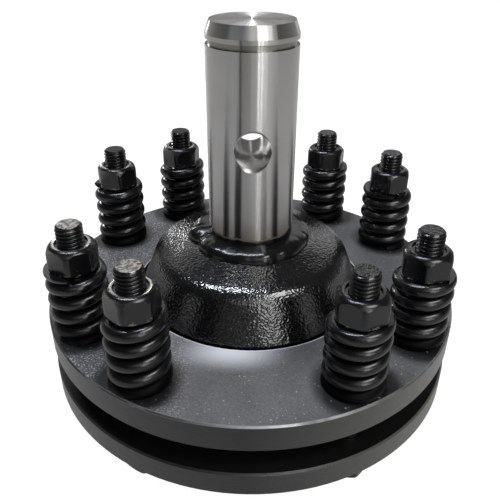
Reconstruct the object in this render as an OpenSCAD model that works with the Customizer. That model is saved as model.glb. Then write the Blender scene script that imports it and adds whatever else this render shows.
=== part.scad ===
// Friction torque limiter for a 1-3/8 in driveline.
// A shaft welded into a bell turns a drive flange, which eight springs clamp between two plates.
// Millimetres. The origin is on the axis, level with the bottom of the bolt heads. +Z is up the shaft.

/* [Plates] */
// Diameter of the pressure plate and of the hub plate
plate_d = 174; // [170:1:190]
// Thickness of the pressure plate, the upper one
pressure_plate_t = 11.6; // [8:0.1:14]
// Thickness of the hub plate, the lower one
hub_plate_t = 10.6; // [8:0.1:14]
// Bevel on the edges of both plates
plate_edge = 0.7; // [0.3:0.1:1.5]
// From the plates' rims in to the middles of the bolts
bolt_to_rim = 12; // [11:0.5:16]
// Play around the bell's neck in the pressure plate
neck_play = 1.5; // [0.8:0.1:1.9]

/* [Friction pack] */
// Thickness of each friction disc
disc_t = 3; // [2.5:0.1:4.5]
// Thickness of the bell's drive flange
flange_t = 5.2; // [5:0.1:9]
// Width of the friction faces, from the discs' bores to their rims
disc_band = 17.75; // [15:0.25:20]
// Room between the friction pack and the bolts
pack_to_bolt = 2; // [1.5:0.1:4]
// Room between the friction discs and the bell's neck
disc_to_neck = 2; // [1:0.1:4]

/* [Bell] */
// Wall of the bell's neck, where it comes up through the pressure plate
neck_wall = 11.95; // [9:0.05:13]
// Height of the bell's crown over the pressure plate
bell_h = 23; // [20:0.5:26]
// Lean of the bell's wall, in degrees from upright
wall_lean = 22.5; // [16:0.5:26]
// Fall of the bell's sloping top, in degrees from level
top_fall = 17.5; // [12:0.5:22]
// Radius of the round shoulder between wall and top
shoulder_r = 8.5; // [5:0.5:10]
// Thickness of the bell's roof around the shaft
roof_t = 12.8; // [10:0.2:14]
// Radius inside the bell, under its roof
cavity_r = 4; // [2:0.5:6]

/* [Input shaft] */
// Diameter of the input shaft
shaft_d = 34.925; // [30:0.005:38]
// Length of the shaft above the bell's crown
shaft_out = 88; // [75:0.5:100]
// Diameter of the shaft's end face, inside its bevel
tip_d = 31.8; // [27:0.1:33]
// Length of the bevel at the shaft's end
tip_l = 4.6; // [2:0.1:5]
// Width of the retaining-ring groove
groove_w = 2.3; // [1.2:0.1:3]
// Depth of the retaining-ring groove
groove_depth = 1.05; // [0.5:0.05:1.5]
// From the shaft's end to the upper edge of the groove
groove_to_tip = 6.2; // [5.4:0.1:9]
// Diameter of the cross hole
cross_hole_d = 14.2; // [10:0.1:16]
// From the shaft's end to the middle of the cross hole
cross_hole_to_tip = 44.4; // [36:0.1:50]
// Bevel around the mouths of the cross hole
cross_hole_edge = 1.2; // [0.5:0.1:2]
// Diameter of the centre mark in the shaft's end face
centre_mark_d = 2.4; // [1:0.1:4]
// Turn of the cross hole against the bolt circle, in degrees
cross_hole_turn = 3; // [0:1:45]
// Diameter of the weld's foot on the bell
weld_foot_d = 50.8; // [46:0.2:54]
// Height of the weld up the shaft
weld_h = 4.4; // [3:0.1:6]

/* [Output hub] */
// Diameter of the output hub's bore
hub_bore_d = 34.925; // [30:0.005:38]
// Width of the keyway in the hub's bore
key_w = 7.94; // [6:0.01:10]
// Depth of the keyway beyond the bore
key_deep = 3.3; // [2:0.1:4]
// How far the hub stands down below the hub plate
hub_drop = 4; // [3:0.5:5.5]
// Room between the hub's top and the bell's roof
hub_to_roof = 3; // [1:0.5:6]
// Height and width of the weld under the hub plate
hub_weld_leg = 3.5; // [2:0.5:5]
// Wall of the pilot bush
bush_t = 5; // [3:0.5:6]
// How far the pilot bush stays in from both ends of its seat
bush_inset = 1; // [0.5:0.5:3]
// Running clearance between the bush and the hub, on the radius
run_play = 0.05; // [0.02:0.01:0.1]

/* [Bolts and nuts] */
// Diameter of the bolts
bolt_d = 10; // [9:0.5:11]
// Length of the bolts under their heads
bolt_l = 80; // [77:1:90]
// Play around the bolts in the plates, on the radius
hole_play = 0.25; // [0.1:0.05:0.5]
// Spanner size of the bolt heads and the nuts
hex_af = 17; // [16:0.5:18]
// Height of the bolt heads
head_h = 6.4; // [6:0.1:8]
// Bevel at the bolts' ends
bolt_tip = 0.8; // [0.4:0.1:1.2]
// Height of the nuts, with their collars
nut_h = 10; // [9:0.1:11]
// Height at which the nuts start to round in towards their collars
nut_dome_z = 5; // [4:0.1:7.5]
// Diameter of the seat in the collar for the plastic insert
insert_d = 12.2; // [11.5:0.1:14]
// Width of the collar's rim around the insert
rim_w = 0.35; // [0.2:0.05:0.8]
// Height of the plastic insert
insert_h = 2.2; // [1.5:0.1:2.4]
// Depth of the insert below the collar's rim
insert_below_rim = 0.8; // [0.3:0.1:1]
// Clearance of the insert in its seat, on the radius
insert_play = 0.02; // [0.01:0.01:0.05]
// Clearance between a nut and its bolt, on the radius
thread_play = 0.05; // [0.02:0.01:0.1]

/* [Springs] */
// Length of the springs as fitted
spring_l = 29; // [28.5:0.1:31]
// Outer diameter of the springs
spring_d = 23; // [22.4:0.1:23.6]
// Diameter of the spring wire
wire_d = 5.2; // [4.9:0.05:5.25]
// Room between the closed end turns
coil_gap = 0.1; // [0.05:0.01:0.2]
// Thickness left at the ground tips of the wire
wire_tip_t = 2.2; // [1.5:0.1:2.4]

/* [Hidden] */
$fn = 96;

// Angles of the bolts round the axis, from the front towards +X. The four quarter points stay empty.
BOLT_ANGLES = [30, 60, 120, 150, 210, 240, 300, 330];
// How each nut happens to be turned: the angle of one corner, from the front towards +X
NUT_TURNS = [57, 48, 52, 41, 51, 22, 2, 49];
// How each spring happens to be turned: the angle of its wire's ends, from the front towards +X
SPRING_TURNS = [294, 71, 5, 184, 206, 274, 2, 263];
BOLTS = len(BOLT_ANGLES);

// Levels, from the bottom of the bolt heads upwards
hub_plate_z = head_h;
lower_disc_z = hub_plate_z + hub_plate_t;
flange_z = lower_disc_z + disc_t;
upper_disc_z = flange_z + flange_t;
pressure_plate_z = upper_disc_z + disc_t;
spring_z = pressure_plate_z + pressure_plate_t;
nut_z = spring_z + spring_l;
crown_z = spring_z + bell_h;
roof_z = crown_z - roof_t;
shaft_end_z = crown_z + shaft_out;
groove_z = shaft_end_z - groove_to_tip - groove_w;
cross_hole_z = shaft_end_z - cross_hole_to_tip;
hub_z = hub_plate_z - hub_drop;
hub_top_z = roof_z - hub_to_roof;
bush_z = flange_z + bush_inset;
bush_top_z = roof_z - cavity_r - bush_inset;

// Radii, worked inwards from the plates' rims to the hub
shaft_r = shaft_d / 2;
bolt_r = bolt_d / 2;
bolt_circle_r = plate_d / 2 - bolt_to_rim;
pack_r = bolt_circle_r - bolt_r - hole_play - pack_to_bolt;
disc_bore_r = pack_r - disc_band;
neck_r = disc_bore_r - disc_to_neck;
cavity_bore_r = neck_r - neck_wall;
bush_r = cavity_bore_r - bush_t;
hub_r = bush_r - run_play;
insert_r = insert_d / 2;
hex_r = hex_af / 2 / cos(30);
// The bevel on a hexagon starts a little inside its flats
hex_bevel_r = hex_af / 2 * 0.96;
hex_bevel_h = (hex_r - hex_bevel_r) * tan(30);

// Spring turns: one closed turn at each end and the working turns between them
SPRING_COILS = 5;
STEPS_PER_TURN = 16;
WIRE_SIDES = 10;
wire_r = wire_d / 2;
coil_r = spring_d / 2 - wire_r;
end_rise = wire_d + coil_gap;
tip_centre_z = wire_tip_t - wire_r;
working_rise = (spring_l - 2 * tip_centre_z - 2 * end_rise) / (SPRING_COILS - 2);

// Steps along the short arcs of turned outlines
ARC_STEPS = 8;
// How far cutting shapes run past the faces that they cut
CUT = 1;

// Points of an arc about (r, z), from one angle to another, with its reach outwards and upwards
function arc(r, z, out, up, from, to) =
    [for (i = [0:ARC_STEPS])
        let (a = from + (to - from) * i / ARC_STEPS)
        [r + out * cos(a), z + up * sin(a)]];

// Places a bolt's own pieces on the bolt circle, turned by an angle from the front towards +X
module at_bolt(i, turn = 0) {
    a = BOLT_ANGLES[i - 1];
    translate([bolt_circle_r * sin(a), -bolt_circle_r * cos(a), 0]) rotate([0, 0, turn - 90]) children();
}

// A turned ring: its section is a rectangle from the bore to the rim
module ring(bore_r, rim_r, z, h) {
    translate([0, 0, z]) difference() {
        cylinder(r = rim_r, h = h);
        translate([0, 0, -CUT]) cylinder(r = bore_r, h = h + 2 * CUT);
    }
}

// A round plate with bevelled edges, a middle hole and the eight bolt holes
module drilled_plate(bore_r, z, h) {
    r = plate_d / 2;
    b = plate_edge;
    difference() {
        translate([0, 0, z]) rotate_extrude() polygon([
            [bore_r, 0], [r - b, 0], [r, b], [r, h - b], [r - b, h], [bore_r, h]]);
        for (i = [1:BOLTS])
            at_bolt(i) translate([0, 0, z - CUT]) cylinder(r = bolt_r + hole_play, h = h + 2 * CUT);
    }
}

// A convex weld bead around a shaft: a quarter ellipse turned about the axis, upwards or downwards
module weld_bead(inner_r, width, height) {
    rotate_extrude() polygon(concat([[inner_r, 0]], arc(inner_r, 0, width, height, 0, 90)));
}

// The shaft, turned from bar: ring groove, bevelled end with a centre mark, cross hole with bevelled mouths
module input_shaft() {
    hole_r = cross_hole_d / 2;
    color("silver") difference() {
        rotate_extrude() polygon([
            [0, roof_z], [shaft_r, roof_z],
            [shaft_r, groove_z], [shaft_r - groove_depth, groove_z],
            [shaft_r - groove_depth, groove_z + groove_w], [shaft_r, groove_z + groove_w],
            [shaft_r, shaft_end_z - tip_l], [tip_d / 2, shaft_end_z], [centre_mark_d / 2, shaft_end_z],
            [0, shaft_end_z - centre_mark_d]]);
        translate([0, 0, cross_hole_z]) rotate([90, 0, cross_hole_turn]) {
            cylinder(r = hole_r, h = shaft_d + 2 * CUT, center = true);
            for (side = [0, 1])
                mirror([0, 0, side]) translate([0, 0, shaft_r - cross_hole_edge])
                    cylinder(r1 = hole_r, r2 = hole_r + cross_hole_edge + CUT, h = cross_hole_edge + CUT);
        }
    }
}

// The bead that joins the shaft to the bell's crown
module shaft_weld() {
    color("#1c1c1e") translate([0, 0, crown_z])
        weld_bead(shaft_r, weld_foot_d / 2 - shaft_r, weld_h);
}

// The bell: a forged dome with its drive flange, open below for the hub and the bush
module drive_bell() {
    crown_r = weld_foot_d / 2;
    // Where the wall's line and the sloping top's line would meet
    corner_r = (neck_r - (crown_z - spring_z + crown_r * tan(top_fall)) * tan(wall_lean))
        / (1 - tan(top_fall) * tan(wall_lean));
    corner_z = crown_z - (corner_r - crown_r) * tan(top_fall);
    // The shoulder's centre lies square to both lines
    half_turn = (90 - wall_lean - top_fall) / 2;
    reach = shoulder_r / cos(half_turn);
    middle = 90 - top_fall - half_turn;
    centre_r = corner_r - reach * cos(middle);
    centre_z = corner_z - reach * sin(middle);
    color("#232325") rotate_extrude() polygon(concat(
        [[cavity_bore_r, flange_z], [pack_r, flange_z], [pack_r, upper_disc_z],
         [neck_r, upper_disc_z], [neck_r, spring_z]],
        arc(centre_r, centre_z, shoulder_r, shoulder_r, wall_lean, 90 - top_fall),
        [[crown_r, crown_z], [shaft_r, crown_z], [shaft_r, roof_z]],
        arc(cavity_bore_r - cavity_r, roof_z - cavity_r, cavity_r, cavity_r, 90, 0)));
}

module upper_friction_disc() {
    color("#6b5a45") ring(disc_bore_r, pack_r, upper_disc_z, disc_t);
}

module lower_friction_disc() {
    color("#6b5a45") ring(disc_bore_r, pack_r, lower_disc_z, disc_t);
}

module pilot_bush() {
    color("#a9803f") ring(bush_r, cavity_bore_r, bush_z, bush_top_z - bush_z);
}

module pressure_plate() {
    color("#2b2b2d") drilled_plate(neck_r + neck_play, pressure_plate_z, pressure_plate_t);
}

module hub_plate() {
    color("#2b2b2d") drilled_plate(hub_r, hub_plate_z, hub_plate_t);
}

// The hub that goes on the driven shaft, with its keyway
module output_hub() {
    bore_r = hub_bore_d / 2;
    color("#3a3a3c") difference() {
        ring(bore_r, hub_r, hub_z, hub_top_z - hub_z);
        translate([-key_w / 2, 0, hub_z - CUT])
            cube([key_w, bore_r + key_deep, hub_top_z - hub_z + 2 * CUT]);
    }
}

// The bead that joins the hub to the underside of the hub plate
module hub_weld() {
    color("#1c1c1e") translate([0, 0, hub_plate_z]) mirror([0, 0, 1])
        weld_bead(hub_r, hub_weld_leg, hub_weld_leg);
}

module bolt(i) {
    end_z = head_h + bolt_l;
    color("#2f2f31") at_bolt(i) {
        intersection() {
            cylinder(r = hex_r, h = head_h, $fn = 6);
            rotate_extrude() polygon([
                [0, 0], [hex_bevel_r, 0], [hex_r, hex_bevel_h], [hex_r, head_h], [0, head_h]]);
        }
        rotate_extrude() polygon([
            [0, head_h], [bolt_r, head_h], [bolt_r, end_z - bolt_tip], [bolt_r - bolt_tip, end_z], [0, end_z]]);
    }
}

// A lock nut: a hexagon that rounds in to a collar, with a seat for the plastic insert
module nut(i) {
    rim_r = insert_r + rim_w;
    bore_r = bolt_r + thread_play;
    seat_z = nut_h - insert_below_rim - insert_h;
    color("#1e1e20") at_bolt(i, NUT_TURNS[i - 1]) translate([0, 0, nut_z]) intersection() {
        cylinder(r = hex_r, h = nut_h, $fn = 6);
        rotate_extrude() polygon(concat(
            [[bore_r, 0], [hex_bevel_r, 0], [hex_r, hex_bevel_h]],
            arc(rim_r, nut_dome_z, hex_r - rim_r, nut_h - nut_dome_z, 0, 90),
            [[insert_r, nut_h], [insert_r, seat_z], [bore_r, seat_z]]));
    }
}

module nut_insert(i) {
    seat_z = nut_z + nut_h - insert_below_rim - insert_h;
    color("#0e0e10") at_bolt(i) ring(bolt_r + thread_play, insert_r - insert_play, seat_z, insert_h);
}

// Height of the wire's centre after a number of turns from its lower tip
function wire_z(turns) =
    turns < 1 ? tip_centre_z + end_rise * turns
    : turns < SPRING_COILS - 1 ? tip_centre_z + end_rise + working_rise * (turns - 1)
    : spring_l - tip_centre_z - end_rise * (SPRING_COILS - turns);

// A right-hand spring. Grinding flattens its end turns at the bottom and the top.
module spring(i) {
    steps = SPRING_COILS * STEPS_PER_TURN;
    points = [for (s = [0:steps], w = [0:WIRE_SIDES - 1])
        let (a = 360 * s / STEPS_PER_TURN, b = 360 * w / WIRE_SIDES,
             r = coil_r + wire_r * cos(b), z = wire_z(s / STEPS_PER_TURN) + wire_r * sin(b))
        [r * cos(a), r * sin(a), min(max(z, 0), spring_l)]];
    function at(s, w) = s * WIRE_SIDES + w % WIRE_SIDES;
    // Each end is a fan from the wire's highest corner at the bottom end, and its lowest at the top end
    up = floor(WIRE_SIDES / 4);
    down = floor(WIRE_SIDES * 3 / 4);
    faces = concat(
        [for (s = [0:steps - 1], w = [0:WIRE_SIDES - 1], half = [0, 1])
            half == 0 ? [at(s, w), at(s, w + 1), at(s + 1, w)]
            : [at(s, w + 1), at(s + 1, w + 1), at(s + 1, w)]],
        [for (k = [1:WIRE_SIDES - 2]) [at(0, up), at(0, up + k + 1), at(0, up + k)]],
        [for (k = [1:WIRE_SIDES - 2]) [at(steps, down), at(steps, down + k), at(steps, down + k + 1)]]);
    color("#19191b") at_bolt(i, SPRING_TURNS[i - 1]) translate([0, 0, spring_z])
        polyhedron(points = points, faces = faces);
}

input_shaft();
shaft_weld();
drive_bell();
upper_friction_disc();
lower_friction_disc();
pilot_bush();
pressure_plate();
hub_plate();
output_hub();
hub_weld();
for (i = [1:BOLTS]) bolt(i);
for (i = [1:BOLTS]) spring(i);
for (i = [1:BOLTS]) nut(i);
for (i = [1:BOLTS]) nut_insert(i);
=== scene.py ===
# %% [markdown]
# # Dressing a friction torque limiter
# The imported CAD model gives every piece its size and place. This lesson adds what a plain solid lacks:
# wound springs, cut threads, a lumpy weld, a rough forging, and the finishes. Everything is in metres in
# the CAD frame: the origin is on the axis under the bolt heads, the shaft stands up along +Z, and the
# camera looks along +Y.

# %% Load the frame
import math

import bmesh
import bpy
from mathutils import Matrix, Vector, noise


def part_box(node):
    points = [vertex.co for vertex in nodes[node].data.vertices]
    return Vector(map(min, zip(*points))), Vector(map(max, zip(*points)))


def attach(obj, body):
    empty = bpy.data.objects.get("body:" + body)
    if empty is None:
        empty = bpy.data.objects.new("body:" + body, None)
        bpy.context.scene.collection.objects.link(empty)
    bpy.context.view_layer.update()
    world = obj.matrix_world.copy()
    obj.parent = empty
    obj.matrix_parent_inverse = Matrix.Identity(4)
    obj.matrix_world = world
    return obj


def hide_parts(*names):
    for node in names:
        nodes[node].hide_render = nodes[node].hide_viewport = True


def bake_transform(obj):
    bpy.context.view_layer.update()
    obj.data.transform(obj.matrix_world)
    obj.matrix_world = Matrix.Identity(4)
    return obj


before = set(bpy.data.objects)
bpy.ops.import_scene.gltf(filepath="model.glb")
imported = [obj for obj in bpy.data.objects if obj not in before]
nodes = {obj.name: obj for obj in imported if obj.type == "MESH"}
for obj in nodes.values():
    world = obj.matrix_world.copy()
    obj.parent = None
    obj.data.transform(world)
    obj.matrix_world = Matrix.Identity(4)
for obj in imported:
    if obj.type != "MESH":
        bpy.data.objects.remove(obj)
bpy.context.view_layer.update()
MM = 0.001

# %% [markdown]
# ## Three small helpers
# Colours are written as sRGB hex values, as a paint chart gives them, and Blender's nodes want linear
# values. Every node tree below is built by one function that adds a node, and a second one feeds inputs,
# also those of a shader that is already there.

# %% Colours and nodes
# Short names for the kinds of node that come most often
MATH, VECTOR, MIX = "ShaderNodeMath", "ShaderNodeVectorMath", "ShaderNodeMix"
RANGE, NOISE = "ShaderNodeMapRange", "ShaderNodeTexNoise"
SPLIT, POINT = "ShaderNodeSeparateXYZ", "ShaderNodeCombineXYZ"


def linear(code):
    """An sRGB hex colour as the linear RGBA that nodes use."""
    shares = [int(code[i : i + 2], 16) / 255 for i in (1, 3, 5)]
    return tuple(s / 12.92 if s <= 0.04045 else ((s + 0.055) / 1.055) ** 2.4 for s in shares) + (1.0,)


def feed(tree, node, links):
    """Gives inputs of a node a value, a socket, or the first output of another node."""
    for name, value in links.items():
        if isinstance(value, bpy.types.Node):
            value = value.outputs[0]
        if isinstance(value, bpy.types.NodeSocket):
            tree.links.new(value, node.inputs[name])
        else:
            node.inputs[name].default_value = value


def add(tree, kind, links=None, **settings):
    """Adds a node with its settings and feeds its inputs."""
    node = tree.nodes.new(kind)
    for name, value in settings.items():
        setattr(node, name, value)
    feed(tree, node, links or {})
    return node


# %% [markdown]
# ## Camera
# The photograph was taken from close by and above, so the perspective is strong. The camera's place and
# turn come from fitting the plates' rims, the shaft's edges and the eight bolts. A small shift of the lens
# stands for the way the picture was cropped.

# %% Camera
CAMERA_REACH = 220.75 * MM
CAMERA_HEIGHT = 184.75 * MM
CAMERA_BEARING = math.radians(0.905)
CAMERA_TURN = math.radians(1.448)
CAMERA_TILT = math.radians(60.605)
CAMERA_ROLL = math.radians(0.241)
camera = bpy.data.objects.new("camera", bpy.data.cameras.new("camera"))
bpy.context.scene.collection.objects.link(camera)
stand = (CAMERA_REACH * math.sin(CAMERA_BEARING), -CAMERA_REACH * math.cos(CAMERA_BEARING), CAMERA_HEIGHT)
camera.matrix_world = (
    Matrix.Translation(stand)
    @ Matrix.Rotation(CAMERA_TURN, 4, "Z")
    @ Matrix.Rotation(CAMERA_TILT, 4, "X")
    @ Matrix.Rotation(CAMERA_ROLL, 4, "Z")
)
camera.data.sensor_width = 36
camera.data.lens = 42.11
camera.data.shift_x = 0.0084
camera.data.shift_y = -0.0230
camera.data.clip_start = 10 * MM
bpy.context.scene.camera = camera
print("camera at", [round(v / MM) for v in camera.location], "mm")

# %% [markdown]
# ## Floor and surroundings
# The photograph has a clean white ground. Through Light Path the floor shows near white to the camera and
# at a lower level in reflections, and a diffuse share on top of that keeps the object's soft shadow.
# Beyond the floor the world is white to the camera. To the object it is a dim room: darker overhead and in
# front than at the back, with one soft glow high in front, which brightens the faces turned that way.

# %% Floor
FLOOR_SIDE = 6.0
FLOOR_SHOWN, FLOOR_MIRRORED = 0.95, 0.41
bpy.context.scene.view_settings.view_transform = "Standard"
corners = [(x * FLOOR_SIDE / 2, y * FLOOR_SIDE / 2, 0) for x, y in ((-1, -1), (1, -1), (1, 1), (-1, 1))]
floor_mesh = bpy.data.meshes.new("floor")
floor_mesh.from_pydata(corners, [], [(0, 1, 2, 3)])
floor = bpy.data.objects.new("floor", floor_mesh)
bpy.context.scene.collection.objects.link(floor)


def new_ground(name, tone, shown_level, mirrored_level):
    """A matt ground that also shows at one level to the camera and at another in reflections."""
    ground = bpy.data.materials.new(name)
    ground.use_nodes = True
    tree = ground.node_tree
    tree.nodes.clear()
    path = add(tree, "ShaderNodeLightPath")
    seen = add(tree, MATH, {0: path.outputs["Is Camera Ray"], 1: path.outputs["Is Transmission Ray"]},
               operation="MAXIMUM")
    shown = add(tree, MATH, {0: seen, 1: shown_level}, operation="MULTIPLY")
    shown = add(tree, MATH, {0: path.outputs["Is Glossy Ray"], 1: mirrored_level, 2: shown},
                operation="MULTIPLY_ADD")
    matt = add(tree, "ShaderNodeBsdfDiffuse", {"Color": linear(tone)})
    glow = add(tree, "ShaderNodeEmission", {"Color": (1, 1, 1, 1), "Strength": shown})
    both = add(tree, "ShaderNodeAddShader", {0: matt, 1: glow})
    add(tree, "ShaderNodeOutputMaterial", {"Surface": both})
    return ground


floor_mesh.materials.append(new_ground("white ground", "#7A7A7A", FLOOR_SHOWN, FLOOR_MIRRORED))
print("floor", FLOOR_SIDE, "m across")

# %% World
ZENITH, HORIZON = 0.06, 0.24
FADE_LOW, FADE_HIGH = 0.05, 0.40
FRONT_SHARE, BACK_SHARE = 0.45, 1.6
GLOW_TOWARDS = Vector((0.05, -0.82, 0.57)).normalized()
GLOW_LEVEL, GLOW_FALL = 1.4, 30.0
world = bpy.data.worlds.new("studio")
bpy.context.scene.world = world
world.use_nodes = True
tree = world.node_tree
tree.nodes.clear()
path = add(tree, "ShaderNodeLightPath")
towards = add(tree, "ShaderNodeTexCoord").outputs["Generated"]
axes = add(tree, SPLIT, {0: towards})
level = add(tree, RANGE, {"Value": axes.outputs["Z"], "From Min": FADE_LOW, "From Max": FADE_HIGH,
                          "To Min": HORIZON, "To Max": ZENITH})
back = add(tree, RANGE, {"Value": axes.outputs["Y"], "From Min": -1.0, "From Max": 1.0,
                         "To Min": FRONT_SHARE, "To Max": BACK_SHARE})
level = add(tree, MATH, {0: level, 1: back}, operation="MULTIPLY")
near = add(tree, VECTOR, {0: towards, 1: GLOW_TOWARDS}, operation="DOT_PRODUCT").outputs["Value"]
near = add(tree, MATH, {0: near, 1: 0.0}, operation="MAXIMUM")
near = add(tree, MATH, {0: near, 1: GLOW_FALL}, operation="POWER")
level = add(tree, MATH, {0: near, 1: GLOW_LEVEL, 2: level}, operation="MULTIPLY_ADD")
level = add(tree, MIX, {0: path.outputs["Is Camera Ray"], 2: level.outputs[0], 3: 1.0})
sky = add(tree, "ShaderNodeBackground", {"Color": (1, 1, 1, 1), "Strength": level})
add(tree, "ShaderNodeOutputWorld", {"Surface": sky})
print("world from", HORIZON, "at the horizon to", ZENITH, "overhead")

# %% [markdown]
# ## Lights
# The highlights tell where the lamps stood. Two thin bright lines on the shaft are two narrow strips a
# little to the right of the camera, with a pale wall around them for the shaft's light side. A long bluish
# ceiling lamp draws the thin lines on collars and coils and the one along the bell's shoulder. A softbox
# high on the right lights the whole object, low boxes behind it on both sides give the bell and the
# springs their bright edges, and a pale wall and a lamp at the back put the sheen on the plates.

# %% Lights
LIGHT_AIM = Vector((0, 0, 60 * MM))


def panel(name, azimuth, elevation, reach, width, height, radiance, tint="#FFFFFF"):
    """A flat lamp seen from the object at an azimuth (from the front towards +X) and an elevation."""
    a, e = math.radians(azimuth), math.radians(elevation)
    away = Vector((math.sin(a) * math.cos(e), -math.cos(a) * math.cos(e), math.sin(e)))
    lamp = bpy.data.lights.new(name, "AREA")
    lamp.shape = "RECTANGLE"
    lamp.size, lamp.size_y = width, height
    lamp.energy = radiance * math.pi * width * height
    lamp.color = linear(tint)[:3]
    holder = bpy.data.objects.new(name, lamp)
    bpy.context.scene.collection.objects.link(holder)
    holder.location = LIGHT_AIM + away * reach
    holder.rotation_euler = away.to_track_quat("Z", "Y").to_euler()


# Name, azimuth and elevation in degrees, reach, width and height in metres, radiance, tint
panel("right_strip_1", 16.8, 20, 0.9, 0.018, 0.70, 9.5)
panel("right_strip_2", 24.8, 20, 0.9, 0.018, 0.70, 8)
panel("right_wall", 26, 19, 1.1, 0.43, 0.50, 2.9)
panel("right_wall_far", 50, 19, 1.1, 0.50, 0.50, 0.7)
panel("right_softbox", 42, 54, 0.9, 0.42, 0.28, 9)
panel("ceiling_lamp", -99, 78, 1.0, 0.06, 0.58, 58, "#EDF2FF")
panel("left_softbox", -148, 14, 1.0, 0.20, 0.08, 24)
panel("right_softbox_low", 150, 14, 1.0, 0.35, 0.15, 1.2)
panel("back_wall", 190, 33, 1.4, 2.0, 0.5, 0.9)
panel("back_lamp", 181, 45, 1.2, 0.06, 0.30, 12)

# %% [markdown]
# ### Two cards
# A polished shaft shows whatever lies around it. Two paper cards on the floor in front give it one dark
# line and a grey band beside it. They show as white as the floor to the camera, so only the shaft and
# other glossy faces see them.

# %% Cards on the floor
CARD_NEAR, CARD_FAR = 0.26, 1.60
CARD_LIFT = 1 * MM


def card(name, bearing, half_width, ground):
    """A card on the floor, a wedge seen from the object at a bearing, wider with the distance."""
    b = math.radians(bearing)
    mesh = bpy.data.meshes.new(name)
    points = []
    for reach, side in ((CARD_NEAR, -1), (CARD_NEAR, 1), (CARD_FAR, 1), (CARD_FAR, -1)):
        off = side * half_width * reach
        x = reach * math.sin(b) + off * math.cos(b)
        y = -reach * math.cos(b) + off * math.sin(b)
        points.append((x, y, CARD_LIFT))
    mesh.from_pydata(points, [], [(0, 1, 2, 3)])
    mesh.materials.append(ground)
    holder = bpy.data.objects.new(name, mesh)
    bpy.context.scene.collection.objects.link(holder)


card("black_card", -27, 0.045, new_ground("black paper", "#0C0C0C", shown_level=1.0, mirrored_level=0.0))
card("grey_card", -12.5, 0.20, new_ground("grey paper", "#686868", shown_level=0.96, mirrored_level=0.22))
print("cards from", CARD_NEAR, "to", CARD_FAR, "m in front")

# %% [markdown]
# ## Finishes
# Each material starts from what the real surface is. All patterns read Object coordinates in metres, so
# a texture scale of 1 / (size in metres) draws features of about that size.

# %% A material to start from


def new_material(name):
    """A material with its tree, its Principled shader and the Object coordinates."""
    material = bpy.data.materials.new(name)
    material.use_nodes = True
    tree = material.node_tree
    place = add(tree, "ShaderNodeTexCoord").outputs["Object"]
    return material, tree, tree.nodes["Principled BSDF"], place


def dress(material, *names):
    """Gives a material to CAD nodes."""
    for name in names:
        nodes[name].data.materials.clear()
        nodes[name].data.materials.append(material)


# %% [markdown]
# ### Turned steel
# The shaft is bare carbon steel, turned and lightly polished. The tool leaves fine rings around it, which
# spread a highlight along the shaft and into a fan on its end, so the shader is anisotropic about the
# axis. The drilled cross hole is rougher and shines less. The welding heat leaves a brown tint at the
# foot, the enamel of the bell ends there in a ragged line, and the ring groove is coloured darker.

# %% Turned steel
CROWN_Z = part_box("shaft_weld")[0].z
SHAFT_TOP_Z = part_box("input_shaft")[1].z
SHAFT_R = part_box("input_shaft")[1].x
GROOVE_Z, GROOVE_HALF = SHAFT_TOP_Z - 7.4 * MM, 1.5 * MM
HOLE_Z, HOLE_REACH = SHAFT_TOP_Z - 44.4 * MM, 8.7 * MM
HEAT_LOW_Z, HEAT_HIGH_Z = CROWN_Z + 5 * MM, CROWN_Z + 15 * MM
ENAMEL_END_Z, BARE_Z = CROWN_Z + 8.2 * MM, CROWN_Z + 9.4 * MM
RAGGED = 5 * MM
SMEAR = 9 * MM
TURNING_FEED = 0.25 * MM  # drawn about twice as coarse as the real feed, so that the rings show

turned_steel, tree, shader, place = new_material("turned carbon steel")
axes = add(tree, SPLIT, {0: place})
rings = add(tree, NOISE, {"W": axes.outputs["Z"], "Scale": 1 / TURNING_FEED, "Detail": 3.0},
            noise_dimensions="1D")
smears = add(tree, NOISE, {"Vector": place, "Scale": 1 / SMEAR, "Detail": 4.0})
tone = add(tree, MIX, {0: rings, 6: linear("#B4B3B6"), 7: linear("#C6C4BF")}, data_type="RGBA")
tone = add(tree, MIX, {0: smears, 6: tone.outputs[2], 7: linear("#BBBAB6")}, data_type="RGBA")
heat = add(tree, RANGE, {"Value": axes.outputs["Z"], "From Min": HEAT_LOW_Z, "From Max": HEAT_HIGH_Z,
                         "To Min": 0.6, "To Max": 0.0})
tone = add(tree, MIX, {0: heat, 6: tone.outputs[2], 7: linear("#8A7A68")}, data_type="RGBA")
across = add(tree, VECTOR, {0: place, 1: (1, 1, 0)}, operation="MULTIPLY")
across = add(tree, VECTOR, {0: across}, operation="LENGTH").outputs["Value"]
# The ring groove is coloured darker
sunk = add(tree, MATH, {0: across, 1: SHAFT_R - 0.2 * MM}, operation="LESS_THAN")
level = add(tree, MATH, {0: axes.outputs["Z"], 1: GROOVE_Z, 2: GROOVE_HALF}, operation="COMPARE")
groove_tone = add(tree, MATH, {0: sunk, 1: level}, operation="MULTIPLY")
groove_tone = add(tree, MATH, {0: groove_tone, 1: 0.8}, operation="MULTIPLY")
tone = add(tree, MIX, {0: groove_tone, 6: tone.outputs[2], 7: linear("#8C8B83")}, data_type="RGBA")
ragged = add(tree, MATH, {0: smears, 1: RAGGED, 2: axes.outputs["Z"]}, operation="MULTIPLY_ADD")
bare = add(tree, RANGE, {"Value": ragged, "From Min": ENAMEL_END_Z, "From Max": BARE_Z})
tone = add(tree, MIX, {0: bare, 6: linear("#0C0B0A"), 7: tone.outputs[2]}, data_type="RGBA")
gloss = add(tree, RANGE, {"Value": smears, "To Min": 0.22, "To Max": 0.28})
from_hole = add(tree, VECTOR, {0: place, 1: (0, 0, HOLE_Z)}, operation="SUBTRACT")
from_hole = add(tree, VECTOR, {0: from_hole, 1: (1, 0, 1)}, operation="MULTIPLY")
from_hole = add(tree, VECTOR, {0: from_hole}, operation="LENGTH").outputs["Value"]
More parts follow.
